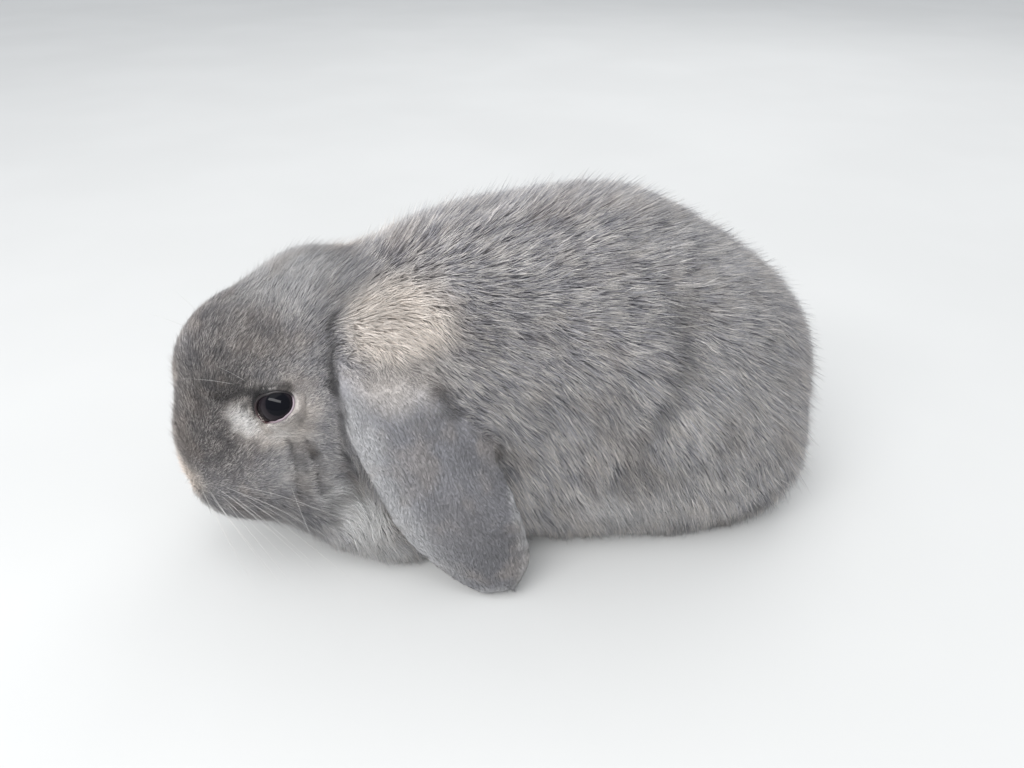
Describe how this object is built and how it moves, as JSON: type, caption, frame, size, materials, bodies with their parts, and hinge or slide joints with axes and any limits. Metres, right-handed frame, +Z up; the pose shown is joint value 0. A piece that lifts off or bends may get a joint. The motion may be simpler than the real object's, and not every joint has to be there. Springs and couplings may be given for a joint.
{
  "type": "mini lop rabbit figure",
  "caption": "Life-size lop-eared rabbit with blue-grey agouti fur, crouched with its feet tucked under and its head low; a still display figure.",
  "frame": {"origin": "on the ground under the middle of the whole animal", "axes": "+Z up, the rabbit looks along -Y, +X is its left side"},
  "size_m": [0.128, 0.2602, 0.1252],
  "materials": {
    "body_fur": "ticked blue-grey fur, paler below",
    "face_fur": "short brownish-grey fur with a cream ring round the eye",
    "ear_fur": "velvety blue-grey fur",
    "foot_fur": "short pale fur",
    "eye": "wet dark brown",
    "claw": "horn, satin"
  },
  "bodies": {
    "root": {"claw_fore_left_1": "claw", "claw_fore_left_2": "claw", "claw_fore_left_3": "claw", "claw_fore_left_4": "claw", "claw_fore_right_1": "claw", "claw_fore_right_2": "claw", "claw_fore_right_3": "claw", "claw_fore_right_4": "claw", "claw_hind_left_1": "claw", "claw_hind_left_2": "claw", "claw_hind_left_3": "claw", "claw_hind_left_4": "claw", "claw_hind_right_1": "claw", "claw_hind_right_2": "claw", "claw_hind_right_3": "claw", "claw_hind_right_4": "claw", "ear_left": "ear_fur", "ear_right": "ear_fur", "eye_left": "eye", "eye_right": "eye", "forefoot_left": "foot_fur", "forefoot_right": "foot_fur", "foreleg_left": "body_fur", "foreleg_right": "body_fur", "head": "face_fur", "hindfoot_left": "foot_fur", "hindfoot_right": "foot_fur", "hindleg_left": "body_fur", "hindleg_right": "body_fur", "neck": "body_fur", "tail": "body_fur", "trunk": "body_fur"}
  },
  "joints": []
}
